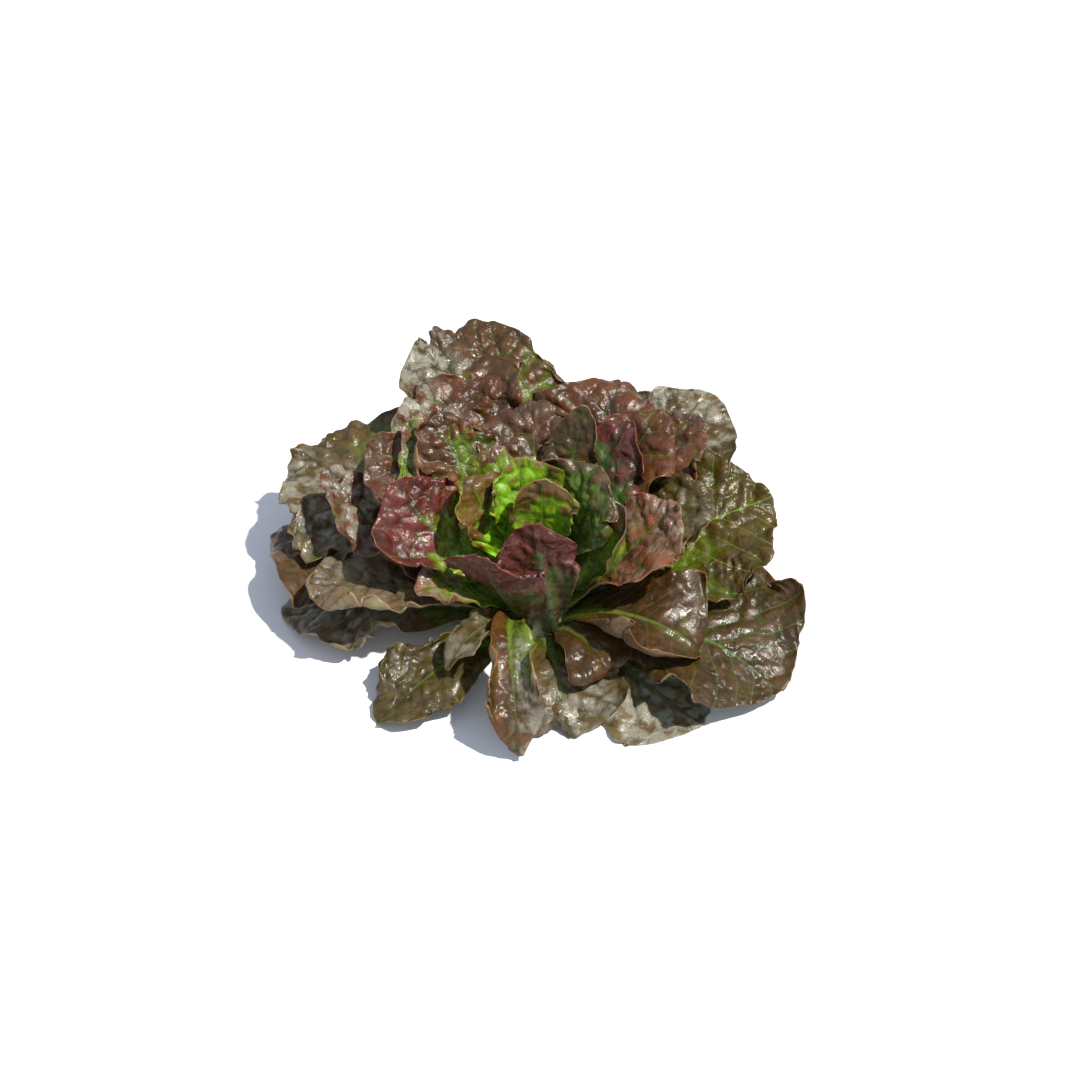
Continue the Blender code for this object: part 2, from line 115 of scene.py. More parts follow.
LEAVES = (
    Leaf("outer_leaf_01", (0.078, -0.066, 0.0), 0.074, (12, -10), ruffle=0.0025, phase=0.3),
    Leaf("outer_leaf_02", (-0.129, 0.008, 0.001), 0.066, (18, -16), cup=(22, 16), phase=1.1),
    Leaf("outer_leaf_03", (0.052, 0.108, 0.0), 0.090, (18, -16), ruffle=0.006, phase=2.0),
    Leaf("outer_leaf_04", (-0.078, -0.066, 0.001), 0.044, (26, -30), cup=(22, 16), ruffle=0.004,
         waves=3, phase=0.6),
    Leaf("outer_leaf_05", (0.122, 0.010, 0.008), 0.070, (20, -14), ruffle=0.005, phase=1.9),
    Leaf("outer_leaf_06", (-0.092, 0.098, 0.0), 0.088, (22, -16), ruffle=0.006, phase=0.2),
    Leaf("outer_leaf_07", (0.014, -0.077, 0.0), 0.066, (40, -46), roll=(30, 0), ruffle=0.005,
         phase=1.4),
    Leaf("outer_leaf_08", (-0.138, 0.042, 0.022), 0.084, (26, -10), ruffle=0.0063, waves=3, phase=2.6),
    Leaf("outer_leaf_09", (-0.014, 0.124, 0.026), 0.094, (28, -8), ruffle=0.0063, phase=1.2),
    Leaf("outer_leaf_10", (0.085, 0.104, 0.066), 0.074, (36, 8), ruffle=0.005, phase=0.9),
    Leaf("outer_leaf_11", (0.116, -0.052, 0.006), 0.090, (32, -26), swing=(12, -20), cup=(26, 30),
         phase=2.2),
    Leaf("outer_leaf_12", (-0.126, 0.084, 0.043), 0.104, (30, 4), twist=(0, -8), ruffle=0.005,
         phase=0.1),
    Leaf("outer_leaf_13", (-0.034, 0.138, 0.083), 0.080, (40, 14), ruffle=0.005, phase=1.7),
    Leaf("outer_leaf_14", (-0.044, -0.048, 0.020), 0.022, (60, -60), reach=(0.5, 0.5), cup=(22, 16),
         phase=1.9),
    Leaf("outer_leaf_15", (-0.010, -0.088, 0.003), 0.030, (70, -76), swing=(-34, 16),
         reach=(0.55, 0.55), cup=(22, 36), roll=(30, 50), ruffle=0.003, phase=0.5),
    Leaf("outer_leaf_16", (0.118, 0.046, 0.042), 0.096, (32, 4), twist=(0, 8), cup=(22, 4),
         ruffle=0.005, phase=2.9),
    Leaf("outer_leaf_17", (0.036, -0.053, 0.013), 0.036, (54, -56), roll=(0, 30), phase=0.7),
    Leaf("outer_leaf_18", (-0.056, 0.134, 0.084), 0.062, (44, 14), ruffle=0.005, phase=2.4),
    Leaf("middle_leaf_01", (-0.114, -0.008, 0.034), 0.062, (34, -6), cup=(22, 34), roll=(50, 0),
         phase=1.2),
    Leaf("middle_leaf_02", (0.080, 0.078, 0.074), 0.056, (46, 16), phase=0.8),
    Leaf("middle_leaf_03", (0.078, -0.038, 0.018), 0.066, (48, -46), cup=(26, 34), roll=(0, 50),
         phase=1.6),
    Leaf("middle_leaf_04", (-0.105, 0.048, 0.064), 0.046, (26, 44), swing=(30, -22), cup=(22, 34),
         phase=2.1),
    Leaf("middle_leaf_05", (-0.058, 0.092, 0.086), 0.078, (50, 18), ruffle=0.005, phase=1.0),
    Leaf("middle_leaf_06", (0.040, 0.089, 0.089), 0.066, (52, 12), ruffle=0.005, waves=3, phase=2.7),
    Leaf("middle_leaf_07", (0.086, 0.028, 0.064), 0.056, (48, 10), phase=0.0),
    Leaf("middle_leaf_08", (-0.086, 0.058, 0.070), 0.060, (46, 26), phase=1.5),
    Leaf("middle_leaf_09", (0.062, 0.066, 0.086), 0.050, (56, 34), phase=2.3),
    Leaf("middle_leaf_10", (-0.060, -0.020, 0.044), 0.034, (50, -10), phase=2.8),
    Leaf("middle_leaf_11", (-0.068, 0.060, 0.084), 0.046, (58, 40), phase=0.7),
    Leaf("middle_leaf_12", (-0.004, 0.068, 0.092), 0.062, (60, 30), ruffle=0.004, waves=3, phase=1.3),
    Leaf("middle_leaf_13", (0.066, 0.012, 0.074), 0.050, (52, 44), swing=(-20, 20), phase=0.2),
    Leaf("middle_leaf_14", (-0.055, 0.058, 0.092), 0.050, (60, 40), ruffle=0.005, phase=1.8),
    Leaf("middle_leaf_15", (0.043, 0.056, 0.090), 0.046, (64, 46), phase=0.6),
    Leaf("middle_leaf_16", (0.022, 0.060, 0.094), 0.030, (68, 56), phase=0.9),
    Leaf("middle_leaf_17", (-0.069, 0.022, 0.081), 0.056, (36, 52), swing=(8, -40), ruffle=0.005,
         phase=2.0),
    Leaf("heart_leaf_01", (-0.031, 0.016, 0.086), 0.046, (74, 64), cup=(24, 34), ruffle=0.004,
         phase=1.6),
    Leaf("heart_leaf_02", (-0.027, -0.023, 0.071), 0.058, (60, 82), swing=(20, 36), cup=(24, 26),
         phase=2.5),
    Leaf("heart_leaf_03", (-0.003, -0.007, 0.078), 0.040, (68, 88), swing=(43, 20), cup=(24, 26),
         ruffle=0.0013, phase=0.5),
    Leaf("heart_leaf_04", (0.033, 0.004, 0.079), 0.046, (66, 80), twist=(20, 45), cup=(24, 30),
         ruffle=0.0013, phase=1.1),
    Leaf("heart_leaf_05", (0.027, 0.026, 0.088), 0.054, (72, 50), cup=(24, 24), phase=2.2),
    Leaf("heart_leaf_06", (-0.010, 0.030, 0.088), 0.050, (74, 60), cup=(24, 20), ruffle=0.0015,
         waves=3, phase=0.3),
    Leaf("heart_leaf_07", (0.001, 0.014, 0.087), 0.040, (80, 76), cup=(24, 45), ruffle=0.0013,
         phase=1.3),
)


def smoothstep(low, high, x):
    t = np.clip((x - low) / (high - low), 0.0, 1.0)
    return t * t * (3.0 - 2.0 * t)


def stem_place(climbed):
    """Radius and height of the point that lies a given way up the stem's flank."""
    radii, heights = np.array(STEM_PROFILE).T
    lengths = np.concatenate([[0.0], np.cumsum(np.hypot(np.diff(radii), np.diff(heights)))])
    return float(np.interp(climbed, lengths, radii)), float(np.interp(climbed, lengths, heights))


def root_heading(leaf):
    return math.degrees(math.atan2(leaf.tip[1], leaf.tip[0])) + leaf.swing[0]


def stack_roots():
    """How far up the stem each leaf's root sits, so that no two roots meet."""
    climbs = []
    for k, leaf in enumerate(LEAVES):
        climb = ROOT_LOWEST
        for other, below in zip(LEAVES[:k], climbs):
            apart = abs((root_heading(leaf) - root_heading(other) + 180.0) % 360.0 - 180.0)
            radius, _ = stem_place(below + ROOT_PITCH)
            if apart < 2 * math.degrees(math.atan2(ROOT_HALF_WIDTH + ROOT_MARGIN, radius)):
                climb = max(climb, below + ROOT_PITCH)
        climbs.append(climb)
    return climbs


def half_width(leaf, along):
    """Half the blade's width at each share of its length."""
    growing = np.sin(0.5 * np.pi * np.clip(along / WIDEST_AT, 0.0, 1.0) ** 1.6)
    before = ROOT_HALF_WIDTH + (leaf.width / 2 - ROOT_HALF_WIDTH) * growing
    past = np.clip((along - WIDEST_AT) / (1.0 - WIDEST_AT), 0.0, 1.0)
    return before * (1.0 - (1.0 - TIP_WIDTH_SHARE) * past**2)


def scallop(leaf, along, across):
    """How far each margin swings in and out, as a share of the half-width."""
    turn = 2 * np.pi * (SCALLOPS * along + leaf.phase) + np.where(across > 0, 0.0, 1.7)
    return 1.0 + SCALLOP_DEPTH * np.sin(turn) * across**2 * smoothstep(0.3, 0.6, along)


def leaf_grid_shares(rows, columns):
    """The share of the length and of the half-width at each grid point. The tip row curves back."""
    u, v = np.meshgrid(np.linspace(0.0, 1.0, rows + 1), np.linspace(-1.0, 1.0, columns + 1), indexing="ij")
    along = u - TIP_ROUNDING * u**2 * np.abs(v) ** 2.2
    return along, v


def direction(slope, heading):
    slope, heading = math.radians(slope), math.radians(heading)
    return np.array([
        math.cos(slope) * math.cos(heading),
        math.cos(slope) * math.sin(heading),
        math.sin(slope),
    ])


def midrib(leaf, climb):
    """Points, directions and side vectors at even shares of the midrib, a curve from root to tip."""
    heading = math.degrees(math.atan2(leaf.tip[1], leaf.tip[0]))
    radius, height = stem_place(climb)
    out = radius + STEM_GAP + 0.5 * RIB_THICKNESS
    start = math.radians(root_heading(leaf))
    root = np.array([out * math.cos(start), out * math.sin(start), height])
    tip = np.array(leaf.tip)
    span = np.linalg.norm(tip - root)
    leaving = root + leaf.reach[0] * span * direction(leaf.rise[0], heading + leaf.swing[0])
    arriving = tip - leaf.reach[1] * span * direction(leaf.rise[1], heading + leaf.swing[1])
    t = np.linspace(0.0, 1.0, 201)[:, None]
    curve = (1 - t) ** 3 * root + 3 * (1 - t) ** 2 * t * leaving
    curve += 3 * (1 - t) * t**2 * arriving + t**3 * tip
    lengths = np.concatenate([[0.0], np.cumsum(np.linalg.norm(np.diff(curve, axis=0), axis=1))])
    share = np.linspace(0.0, 1.0, 81)
    points = np.stack([np.interp(share * lengths[-1], lengths, curve[:, k]) for k in range(3)], axis=1)
    ahead = np.gradient(points, axis=0)
    ahead /= np.linalg.norm(ahead, axis=1, keepdims=True)
    sideways = np.radians(heading + leaf.swing[0] + (leaf.swing[1] - leaf.swing[0]) * share)
    side = np.stack([-np.sin(sideways), np.cos(sideways), np.zeros_like(sideways)], axis=1)
    side -= (side * ahead).sum(axis=1, keepdims=True) * ahead
    side /= np.linalg.norm(side, axis=1, keepdims=True)
    turn = np.radians(np.interp(share, (0.0, 1.0), leaf.twist)) * smoothstep(0.0, 0.3, share)
    turn = turn[:, None]
    side = np.cos(turn) * side + np.sin(turn) * np.cross(ahead, side)
    return share, points, ahead, side


def cross_section(leaf, along, across):
    """How far each point lies to the side of the midrib and above it, as shares of the half-width."""
    table = np.linspace(0.0, 1.0, 25)
    spread = np.zeros_like(across)
    lift = np.zeros_like(across)
    cup = leaf.cup[0] + (leaf.cup[1] - leaf.cup[0]) * along
    for sign, roll in ((1.0, leaf.roll[0]), (-1.0, leaf.roll[1])):
        here = across * sign > 0
        strength = roll * smoothstep(0.2, 0.55, along[here])
        turn = np.radians(
            cup[here][:, None] * table + strength[:, None] * smoothstep(ROLL_STARTS, 1.0, table)
        )
        step = 1.0 / (len(table) - 1)
        sideways = np.cumsum(np.cos(turn), axis=1) * step - 0.5 * step * (np.cos(turn) + 1.0)
        upward = np.cumsum(np.sin(turn), axis=1) * step - 0.5 * step * np.sin(turn)
        place = np.abs(across[here]) * (len(table) - 1)
        low = np.minimum(place.astype(int), len(table) - 2)
        part = place - low
        pick = np.arange(len(low))
        spread[here] = sign * (sideways[pick, low] * (1 - part) + sideways[pick, low + 1] * part)
        lift[here] = upward[pick, low] * (1 - part) + upward[pick, low + 1] * part
    return spread, lift


def drawn_leaf(leaf, climb, along, across):
    """The blade's middle surface as drawn, before leaves are bent clear of each other."""
    share, points, ahead, side = midrib(leaf, climb)

    def at(values):
        return np.stack([np.interp(along, share, values[:, k]) for k in range(3)], axis=-1)

    ahead_here, side_here = at(ahead), at(side)
    up_here = np.cross(ahead_here, side_here)
    half = half_width(leaf, along) * scallop(leaf, along, across)
    spread, lift = cross_section(leaf, along.ravel(), across.ravel())
    spread, lift = spread.reshape(along.shape) * half, lift.reshape(along.shape) * half
    side_phase = np.where(across > 0, 0.0, 2.1)
    wave = np.sin(2 * np.pi * (leaf.waves * along + leaf.phase) + side_phase)
    lift = lift + leaf.ruffle * wave * across**2 * smoothstep(0.25, 0.7, along)
    return at(points) + spread[..., None] * side_here + lift[..., None] * up_here


def grid_faces(rows, columns):
    """Triangles of a grid, counter-clockwise seen from above. Its two halves mirror each other."""
    faces = []
    for i in range(rows):
        for j in range(columns):
            a = i * (columns + 1) + j
            b, c, d = a + columns + 1, a + columns + 2, a + 1
            faces += [(a, b, d), (b, c, d)] if j < columns // 2 else [(a, b, c), (a, c, d)]
    return faces


def grid_normals(grid):
    along = np.gradient(grid, axis=0)
    across = np.gradient(grid, axis=1)
    normals = np.cross(along, across)
    return normals / np.linalg.norm(normals, axis=2, keepdims=True)


def smoothed(field):
    """A vector field on a grid, averaged with its neighbours."""
    for axis in (0, 1):
        ahead = np.roll(field, -1, axis)
        behind = np.roll(field, 1, axis)
        last = [slice(None)] * 3
        first = [slice(None)] * 3
        last[axis], first[axis] = -1, 0
        ahead[tuple(last)] = field[tuple(last)]
        behind[tuple(first)] = field[tuple(first)]
        field = 0.25 * ahead + 0.5 * field + 0.25 * behind
    return field


def halfway(grid):
    """A grid with a point added in the middle of each edge and of each cell's diagonal."""
    rows, columns = grid.shape[:2]
    fine = np.zeros((2 * rows - 1, 2 * columns - 1, 3))
    fine[::2, ::2] = grid
    fine[1::2, ::2] = 0.5 * (grid[1:] + grid[:-1])
    fine[::2, 1::2] = 0.5 * (grid[:, 1:] + grid[:, :-1])
    middle = (columns - 1) // 2
    fine[1::2, 1:2 * middle:2] = 0.5 * (grid[1:, :middle] + grid[:-1, 1:middle + 1])
    fine[1::2, 2 * middle + 1::2] = 0.5 * (grid[1:, middle + 1:] + grid[:-1, middle:-1])
    return fine


def gathered(moves):
    """The moves of a grid from those of its halfway points."""
    wide = np.pad(moves, ((1, 1), (1, 1), (0, 0)))
    rows, columns = moves.shape[:2]
    total = np.zeros_like(moves[::2, ::2])
    for i in range(3):
        for j in range(3):
            share = 1.0 if (i, j) == (1, 1) else 0.6
            total += share * wide[i:i + rows:2, j:j + columns:2]
    return total


def near_misses(grid, normals, tree, box, outward):
    """Moves that bring a grid's points to their side of another leaf, and how many points need one."""
    moves = np.zeros_like(grid)
    found = 0
    close = ((grid > box[0] - REACH) & (grid < box[1] + REACH)).all(axis=2)
    close[0] = False
    sign = 1.0 if outward else -1.0
    for row, column in zip(*np.nonzero(close)):
        point = Vector(grid[row, column])
        place, normal, _, distance = tree.find_nearest(point, REACH)
        if place is None:
            continue
        offset = point - place
        facing = abs(offset.dot(normal)) > 0.85 * distance
        direction = normal if outward else Vector(normals[row, column])
        missing = LEAF_GAP - (sign * offset.dot(direction) if facing else distance)
        if missing > 0:
            found += 1
            moves[row, column] = sign * min(missing, LARGEST_STEP) * np.array(direction)
    return moves, found


def bend_clear(grids):
    """Bends the leaves until each lies above those outside it, with a gap, and above the floor."""
    faces = grid_faces(ROWS, COLUMNS)
    free = smoothstep(0.0, ANCHORED_ROWS, np.arange(ROWS + 1))[:, None, None]
    drawn = [g.copy() for g in grids]
    everyone = [(inner, outer) for inner in range(len(grids)) for outer in range(inner)]
    busy = everyone
    for turn in range(ROUNDS):
        fine = turn >= FINE_FROM_ROUND
        trees = [BVHTree.FromPolygons([tuple(p) for p in g.reshape(-1, 3)], faces) for g in grids]
        samples = [halfway(g) if fine else g for g in grids]
        normals = [grid_normals(g) for g in samples]
        boxes = [(g.min(axis=(0, 1)), g.max(axis=(0, 1))) for g in grids]
        moves = [np.zeros_like(g) for g in samples]
        pairs = everyone if turn % ROUNDS_BETWEEN_SEARCHES == 0 else busy
        busy = []
        for inner, outer in pairs:
            up, n_up = near_misses(samples[inner], normals[inner], trees[outer], boxes[outer], True)
            down, n_down = near_misses(samples[outer], normals[outer], trees[inner], boxes[inner], False)
            moves[inner] += 0.5 * up
            moves[outer] += 0.5 * down
            if n_up + n_down:
                busy.append((inner, outer))
        for k, move in enumerate(moves):
            move = gathered(move) if fine else move
            size = np.linalg.norm(move, axis=2, keepdims=True)
            move = move * np.minimum(1.0, LARGEST_STEP / np.maximum(size, 1e-9))
            bent = grids[k] + free * (0.35 * move + 0.65 * smoothed(smoothed(move))) - drawn[k]
            grids[k] = drawn[k] + (1.0 - EVENING) * bent + EVENING * free * smoothed(bent)
            grids[k][..., 2] = np.maximum(grids[k][..., 2], FLOOR)
        if not busy and pairs is everyone:
            break
    return grids


# Fine blade
CELL = 0.00115
BLADE_THICKNESS = 0.00055
MARGIN_THICKNESS = 0.00025
MARGIN_WIDTH = 0.0014
RIB_HEIGHT = 0.0030
RIB_WIDTH = 0.0030
RIB_GROOVE = 0.0003

# Side veins and the puckers between them
VEIN_SPACING = 0.0135
VEIN_SLANT = 0.62
VEIN_WANDER_LENGTH = 0.02
WARP_LENGTH = 0.011
PATCH_LENGTH = 0.026
SWELL = 0.0020
SWELL_LENGTH = 0.022

# Fine waves, nicks and rolls of the margin
FRILL_LENGTH = 0.017
NICK_LENGTH = 0.009
NICK_DEPTH = 0.060
TIP_NICK_DEPTH = 0.02
NOTCHES = 4
ROLL_WIDTH = 0.013
FLUTTER = 62.0
FLUTTER_LENGTH = 0.018

FLOOR_CLEARANCE = 0.0004


@dataclass
class Look:
    """The colours and the relief of one leaf's surface.

    blush is where its blush starts along it, and its sheen share is how much pale painted sheen it has,
    on the left and the right half. pucker is the size of its blisters and height how far they stand up.
    frill is the height of the margin's fine waves. curl turns the left margin, the right margin and the
    tip further up, in degrees. veins is how far its rib and side veins stand out in colour. Each of
    slits is a tear in the margin, or a point on it where its depth is negative: how far along the leaf
    it is, its side, +1 for the left, its depth as a share of the half width, and its width in metres.
    Each of clefts draws the tip back: where it is across the leaf, its depth as a share of the length,
    and its width as a share of the half width.
    """

    palette: str
    blush: tuple = (0.25, 0.25)
    pucker: float = 0.0085
    height: float = 0.0022
    frill: float = 0.0024
    curl: tuple = (15.0, -20.0, -15.0)
    bloom: tuple = (0.1, 0.1)
    veins: float = 0.15
    slits: tuple = ()
    clefts: tuple = ()


# Each palette: near the root, towards the margin, underside, rib, margin
PALETTES = {
    "bronze": ((0.16, 0.25, 0.006), (0.125, 0.05, 0.007), (0.2, 0.1, 0.04), (0.28, 0.36, 0.05),
        (0.42, 0.18, 0.05)),
    "olive": ((0.13, 0.19, 0.005), (0.08, 0.056, 0.005), (0.15, 0.11, 0.03), (0.24, 0.34, 0.04),
        (0.38, 0.22, 0.04)),
    "brown": ((0.13, 0.17, 0.006), (0.088, 0.038, 0.008), (0.2, 0.11, 0.07), (0.24, 0.3, 0.04),
        (0.38, 0.18, 0.07)),
    "crimson": ((0.22, 0.42, 0.008), (0.145, 0.011, 0.01), (0.24, 0.055, 0.04), (0.28, 0.34, 0.06),
        (0.5, 0.12, 0.07)),
    # The near-black rib is painted shade, and the dark root green is partly the leaves' own green and partly
    # painted shade, for leaf bases in shadow at the front of the heart
    "wine": ((0.05, 0.11, 0.006), (0.115, 0.014, 0.01), (0.105, 0.02, 0.014), (0.03, 0.05, 0.01),
        (0.46, 0.09, 0.06)),
    "red": ((0.18, 0.32, 0.006), (0.122, 0.034, 0.009), (0.23, 0.085, 0.035), (0.3, 0.36, 0.06),
        (0.42, 0.16, 0.05)),
    "pink": ((0.24, 0.38, 0.01), (0.26, 0.08, 0.03), (0.38, 0.15, 0.09), (0.34, 0.38, 0.1),
        (0.52, 0.2, 0.12)),
    "heart": ((0.27, 0.58, 0.004), (0.17, 0.08, 0.006), (0.2, 0.36, 0.012), (0.42, 0.58, 0.05),
        (0.44, 0.24, 0.05)),
    "deep": ((0.1, 0.2, 0.006), (0.072, 0.044, 0.009), (0.11, 0.15, 0.015), (0.17, 0.26, 0.03),
        (0.44, 0.18, 0.11)),
    "silver": ((0.15, 0.18, 0.012), (0.105, 0.066, 0.014), (0.19, 0.14, 0.06), (0.27, 0.3, 0.1),
        (0.4, 0.21, 0.07)),
    # About twice as light as the brown colours: painted light for leaves that lie in the head's shadow
    "plum_painted_light": ((0.2, 0.24, 0.03), (0.2, 0.13, 0.06), (0.26, 0.18, 0.1), (0.3, 0.33, 0.12),
        (0.42, 0.25, 0.12)),
}

LOOKS = {
    # outer_leaf_01 and outer_leaf_02 lie in shadow: their lightened colours and large sheen shares are
    # painted light
    "outer_leaf_01": Look("plum_painted_light", (0.45, 0.45), 0.009, 0.002, bloom=(1.8, 1.6), veins=0.3),
    "outer_leaf_02": Look("plum_painted_light", (0.45, 0.3), 0.01, 0.0016, curl=(45, 0, 0), bloom=(1.2, 1.0)),
    "outer_leaf_03": Look("olive", (0.3, 0.3)),
    "outer_leaf_04": Look("olive", (0.3, 0.4), 0.007, 0.0018, 0.003, curl=(-30, 30, -20)),
    "outer_leaf_05": Look("brown", (0.3, 0.2), 0.009, 0.0022),
    "outer_leaf_06": Look("olive", (0.3, 0.3)),
    "outer_leaf_07": Look("silver", (0.4, 0.2), 0.009, 0.0026, 0.002, curl=(60, 20, -20), bloom=(0.9, 0.3),
        veins=0.3, slits=((0.62, -1, 0.42, 0.005),), clefts=((-0.2, 0.1, 0.12),)),
    "outer_leaf_08": Look("brown", (0.05, 0.05), 0.006, 0.0012, 0.0028, bloom=(0.15, 0.15)),
    "outer_leaf_09": Look("olive", (0.3, 0.3)),
    "outer_leaf_10": Look("silver", (0.5, 0.5), 0.007, 0.0026, 0.002, bloom=(0.9, 1.0)),
    "outer_leaf_11": Look("deep", (0.4, 0.1), 0.01, 0.002, veins=0.5, bloom=(0, 0),
        slits=((0.8, 1, -0.34, 0.006),)),
    "outer_leaf_12": Look("silver", (0.45, 0.75), 0.009, 0.0034, 0.003, bloom=(0.9, 0.0),
        slits=((0.8, 1, 0.22, 0.0025),)),
    "outer_leaf_13": Look("brown", (0.3, 0.8), 0.011, 0.0044, 0.003, bloom=(0, 0)),
    "outer_leaf_14": Look("silver", (0.4, 0.4), 0.006, 0.0016, bloom=(0.9, 0.5)),
    "outer_leaf_15": Look("bronze", (0.75, 0.1), 0.008, 0.0016, 0.0014, curl=(60, 10, 0), bloom=(0.9, 0.0),
        veins=0.2),
    "outer_leaf_16": Look("olive", (0.1, 0.62), 0.009, 0.0042, 0.003, bloom=(0, 0), veins=0.8,
        slits=((0.72, 1, 0.15, 0.002), (0.9, -1, 0.14, 0.002), (0.75, -1, 0.1, 0.002))),
    "outer_leaf_17": Look("brown", (0.1, 0.1), 0.01, 0.0016, 0.0012, curl=(-20, -35, -10), bloom=(0, 0),
        veins=0.0),
    "outer_leaf_18": Look("brown", (0.5, 0.55), 0.01, 0.004, 0.0032, bloom=(1.6, 0.0),
        slits=((0.6, 1, 0.3, 0.0035),), clefts=((0.22, 0.08, 0.06), (-0.4, 0.04, 0.12))),
    "middle_leaf_01": Look("plum_painted_light", (0.35, 0.25), 0.009, 0.0024, curl=(75, 0, 20), bloom=(0.2, 0.5)),
    "middle_leaf_02": Look("red", (0.3, 0.45), 0.009, 0.004),
    "middle_leaf_03": Look("brown", (0.15, 0.15), 0.011, 0.0014, 0.001, curl=(40, 40, 30), bloom=(0, 0),
        veins=0.3),
    "middle_leaf_04": Look("red", (0.35, 0.35), 0.008, 0.0028, curl=(40, -20, 0), bloom=(0.7, 0.9)),
    "middle_leaf_05": Look("red", (0.45, 0.55), 0.008, 0.0032, 0.003, curl=(10, -30, 20), bloom=(1.6, 0.0),
        slits=((0.7, 1, 0.2, 0.0035),), clefts=((0.3, 0.06, 0.08),)),
    "middle_leaf_06": Look("red", (0.45, 0.55), 0.011, 0.0046, 0.002, curl=(-30, -30, -60), bloom=(0, 0)),
    "middle_leaf_07": Look("olive", (0.45, 0.45), 0.009, 0.003, bloom=(0.1, 0.2)),
    "middle_leaf_08": Look("red", (0.55, 0.55), 0.008, 0.0034, bloom=(0.2, 0.2)),
    "middle_leaf_09": Look("red", (0.7, 0.6), 0.009, 0.004, curl=(-20, -30, -40), bloom=(0, 0)),
    "middle_leaf_10": Look("pink", (0.8, 0.8), 0.007, 0.0028, curl=(40, -20, -15), bloom=(0.6, 0.6)),
    "middle_leaf_11": Look("pink", (1.0, 1.0), 0.007, 0.0034, bloom=(0.5, 0.5)),
    "middle_leaf_12": Look("red", (0.6, 0.55), 0.01, 0.0048, 0.002, curl=(-20, -30, -50),
        bloom=(0.15, 0.15)),
    "middle_leaf_13": Look("pink", (0.55, 0.45), 0.007, 0.0038, curl=(-30, 40, 0), bloom=(0.45, 0.45)),
    "middle_leaf_14": Look("red", (0.6, 0.8), 0.008, 0.0046, curl=(30, -20, -20),
        slits=((0.8, -1, 0.25, 0.004),)),
    "middle_leaf_15": Look("wine", (0.8, 0.75), 0.008, 0.0036),
    "middle_leaf_16": Look("deep", (0.55, 0.55), 0.009, 0.0018, bloom=(0, 0)),
    "middle_leaf_17": Look("crimson", (0.5, 0.65), 0.008, 0.0038, curl=(130, -20, -30), bloom=(0.1, 0.0)),
    "heart_leaf_01": Look("heart", (0.5, 0.6), 0.007, 0.0036),
    "heart_leaf_02": Look("wine", (0.6, 0.6), 0.008, 0.0026, 0.0016, curl=(-20, -20, -40), bloom=(0, 0)),
    "heart_leaf_03": Look("wine", (0.62, 0.62), 0.008, 0.0024, 0.0012, curl=(-30, -30, -20), bloom=(0, 0)),
    "heart_leaf_04": Look("deep", (0.8, 0.8), 0.01, 0.0008, 0.0006, curl=(10, 40, 0), bloom=(0, 0)),
    "heart_leaf_05": Look("deep", (0.85, 0.85), 0.007, 0.0036),
    "heart_leaf_06": Look("heart", (0.9, 0.9), 0.007, 0.0036, 0.003),
    "heart_leaf_07": Look("heart", (0.7, 0.7), 0.008, 0.0016, 0.0008, curl=(30, 30, 20)),
}


def lattice(column, row, seed):
    """Even random numbers from 0 to 1 for whole-number places."""
    n = column.astype(np.int64) * 374761393 + row.astype(np.int64) * 668265263 + seed * 69069
    n = n & 0xFFFFFFFF
    n = ((n ^ (n >> 13)) * 1274126177) & 0xFFFFFFFF
    return ((n ^ (n >> 16)) & 0xFFFFFF) / float(0x1000000)


def drift(x, y, seed):
    """Smooth random values from -1 to 1 that change over a distance of 1."""
    column, row = np.floor(x), np.floor(y)
    right, up = smoothstep(0.0, 1.0, x - column), smoothstep(0.0, 1.0, y - row)
    low = lattice(column, row, seed) * (1 - right) + lattice(column + 1, row, seed) * right
    high = lattice(column, row + 1, seed) * (1 - right) + lattice(column + 1, row + 1, seed) * right
    return 2 * (low * (1 - up) + high * up) - 1


def cushions(x, y, seed):
    """Rounded cells about 1 across: 1 on top of each and 0 in the creases between them."""
    nearest = np.full(x.shape, 9.0)
    second = np.full(x.shape, 9.0)
    column, row = np.floor(x), np.floor(y)
    for i in (-1, 0, 1):
        for j in (-1, 0, 1):
            across = column + i + 0.15 + 0.7 * lattice(column + i, row + j, seed)
            along = row + j + 0.15 + 0.7 * lattice(column + i, row + j, seed + 1)
            away = np.hypot(x - across, y - along)
            second = np.minimum(second, np.maximum(nearest, away))
            nearest = np.minimum(nearest, away)
    inside = np.clip((second - nearest) / 0.8, 0.0, 1.0)
    return 1.0 - (1.0 - inside) ** 2


def spread_weights(fine, coarse):
    """Weights that carry values at even coarse places smoothly to even fine ones."""
    weights = np.zeros((fine + 1, coarse + 1))
    for k in range(fine + 1):
        place = k * coarse / fine
        low = min(int(place), coarse - 1)
        t = place - low
        shares = (
            -0.5 * t + t**2 - 0.5 * t**3,
            1.0 - 2.5 * t**2 + 1.5 * t**3,
            0.5 * t + 2.0 * t**2 - 1.5 * t**3,
            -0.5 * t**2 + 0.5 * t**3,
        )
        for step, share in zip((-1, 0, 1, 2), shares):
            weights[k, min(max(low + step, 0), coarse)] += share
    return weights


